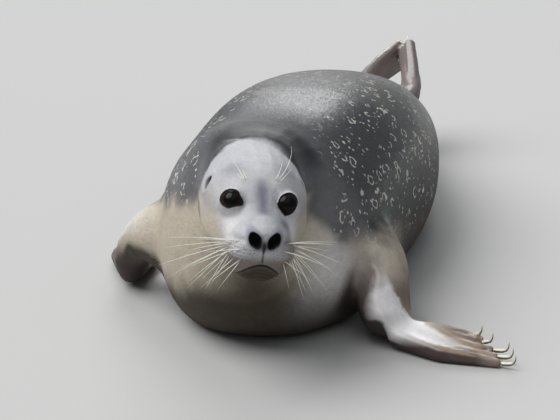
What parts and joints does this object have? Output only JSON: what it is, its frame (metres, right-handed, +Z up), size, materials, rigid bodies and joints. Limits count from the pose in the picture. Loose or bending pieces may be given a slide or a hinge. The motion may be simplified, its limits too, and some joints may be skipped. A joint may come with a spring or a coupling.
{
  "type": "harbor seal",
  "caption": "Young harbor seal lying on its belly, head raised and turned, one fore flipper spread on the floor, hind flippers held together.",
  "frame": {"origin": "on the floor, under the middle of the animal's bounding box", "axes": "+Y along the body towards the hind flippers, so the seal faces -Y; +X towards its left side; +Z up"},
  "size_m": [0.6316, 1.1758, 0.281],
  "materials": {
    "back_fur": "short wet fur, charcoal with pale rings and streaks, paler beneath",
    "face_fur": "short silver-grey fur, darker round the eyes and the hood",
    "flipper_fur": "short wet fur, silver on top and brown on the digits and web",
    "nose_skin": "bare damp skin, grey with black nostrils",
    "eye": "wet, near-black brown",
    "claw": "smooth horn, cream with a dark root"
  },
  "bodies": {
    "root": {"nose": "nose_skin", "lower_jaw": "face_fur", "head": "face_fur", "eye_left": "eye", "ear_left": "face_fur", "eye_right": "eye", "ear_right": "face_fur", "neck": "back_fur", "chest": "back_fur", "rump": "back_fur", "tail": "back_fur", "belly": "back_fur", "fore_arm_left": "flipper_fur", "fore_flipper_left": "flipper_fur", "fore_claw_left_1": "claw", "fore_claw_left_2": "claw", "fore_claw_left_3": "claw", "fore_claw_left_4": "claw", "fore_claw_left_5": "claw", "hind_leg_left": "back_fur", "hind_flipper_left": "flipper_fur", "hind_claw_left_1": "claw", "hind_claw_left_2": "claw", "hind_claw_left_3": "claw", "hind_claw_left_4": "claw", "hind_claw_left_5": "claw", "fore_arm_right": "flipper_fur", "fore_flipper_right": "flipper_fur", "fore_claw_right_1": "claw", "fore_claw_right_2": "claw", "fore_claw_right_3": "claw", "fore_claw_right_4": "claw", "fore_claw_right_5": "claw", "hind_leg_right": "back_fur", "hind_flipper_right": "flipper_fur", "hind_claw_right_1": "claw", "hind_claw_right_2": "claw", "hind_claw_right_3": "claw", "hind_claw_right_4": "claw", "hind_claw_right_5": "claw"}
  },
  "joints": []
}
